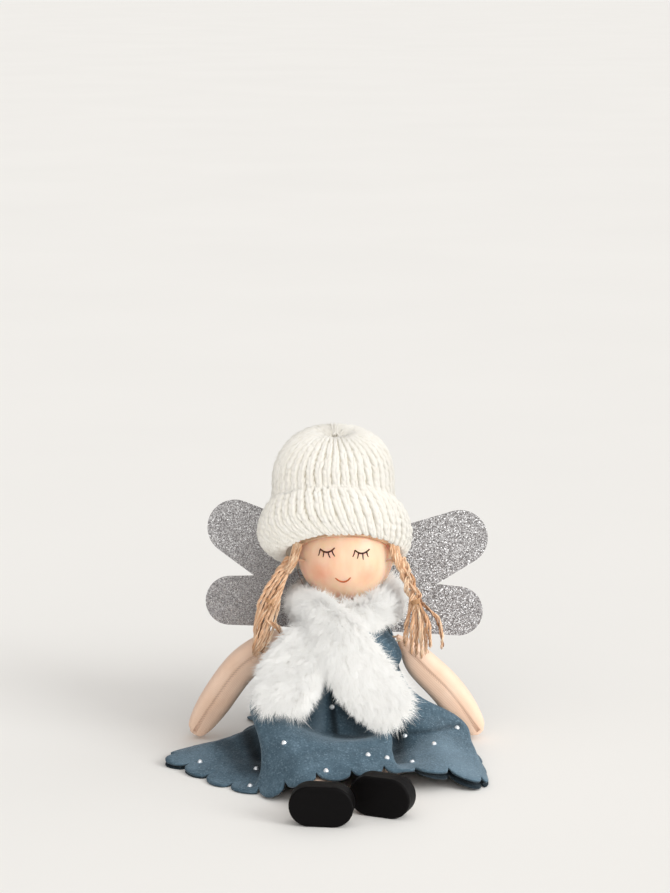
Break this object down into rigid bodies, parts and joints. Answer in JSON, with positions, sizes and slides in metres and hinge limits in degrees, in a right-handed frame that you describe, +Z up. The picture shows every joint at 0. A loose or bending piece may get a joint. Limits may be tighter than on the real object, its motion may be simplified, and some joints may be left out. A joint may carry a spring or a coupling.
{
  "type": "angel doll ornament",
  "caption": "Seated angel doll with wooden ball head, knitted hat, jute plaits, furry scarf, fluted scalloped dress, hinged stuffed limbs and cut glitter wings.",
  "frame": {"origin": "centre of the flat seat face on the floor", "axes": "+Z up, front toward -Y, +X toward the doll's own left"},
  "size_m": [0.1509, 0.1871, 0.15],
  "materials": {
    "skin_cloth": "smooth woven cotton, stuffed",
    "painted_head": "satin paint on wood",
    "black_wood": "satin black paint on wood",
    "dowel_wood": "plain sanded wood",
    "jute": "twisted jute twine",
    "knit": "chunky rib knit",
    "fur": "short pile faux fur",
    "velour": "napped velour",
    "stone": "faceted clear stones",
    "glitter_board": "silver glitter on board",
    "thread": "cotton thread",
    "wire": "bare wire",
    "pouch_cloth": "cotton pouch filled with pellets",
    "base_board": "plain board"
  },
  "bodies": {
    "doll": {"seat_disc": "base_board", "ballast_pouch": "pouch_cloth", "torso": "skin_cloth", "neck_dowel": "dowel_wood", "head": "painted_head", "hair_band": "jute", "left_braid_staple": "wire", "right_braid_staple": "wire", "hat": "knit", "hat_knot": "knit", "scarf": "fur", "bodice": "velour", "skirt_front": "velour", "skirt_back": "velour", "rhinestones": "stone", "left_shoulder_tack": "thread", "right_shoulder_tack": "thread", "left_hip_tack": "thread", "right_hip_tack": "thread", "wings": "glitter_board"},
    "left_arm": {"left_arm": "skin_cloth"},
    "right_arm": {"right_arm": "skin_cloth"},
    "left_leg": {"left_leg": "skin_cloth", "left_shoe": "black_wood"},
    "right_leg": {"right_leg": "skin_cloth", "right_shoe": "black_wood"},
    "left_braid": {"left_braid": "jute", "left_braid_tie": "thread"},
    "right_braid": {"right_braid": "jute", "right_braid_tie": "thread"}
  },
  "joints": [
    {"name": "left_shoulder", "type": "hinge", "parent": "doll", "child": "left_arm", "pos_m": [0.0255, 0, 0.049], "axis": [0, -1, 0], "range_deg": [0, 40]},
    {"name": "right_shoulder", "type": "hinge", "parent": "doll", "child": "right_arm", "pos_m": [-0.0255, 0, 0.0505], "axis": [0, 1, 0], "range_deg": [0, 40]},
    {"name": "left_hip", "type": "hinge", "parent": "doll", "child": "left_leg", "pos_m": [0.012, -0.024, 0.0072], "axis": [1, 0, 0], "range_deg": [0, 80]},
    {"name": "right_hip", "type": "hinge", "parent": "doll", "child": "right_leg", "pos_m": [-0.012, -0.024, 0.0072], "axis": [1, 0, 0], "range_deg": [0, 80]},
    {"name": "left_braid_swing", "type": "hinge", "parent": "doll", "child": "left_braid", "pos_m": [0.026, -0.0095, 0.09], "axis": [0, -1, 0], "range_deg": [0, 30]},
    {"name": "right_braid_swing", "type": "hinge", "parent": "doll", "child": "right_braid", "pos_m": [-0.026, -0.0095, 0.09], "axis": [0, 1, 0], "range_deg": [0, 30]}
  ]
}
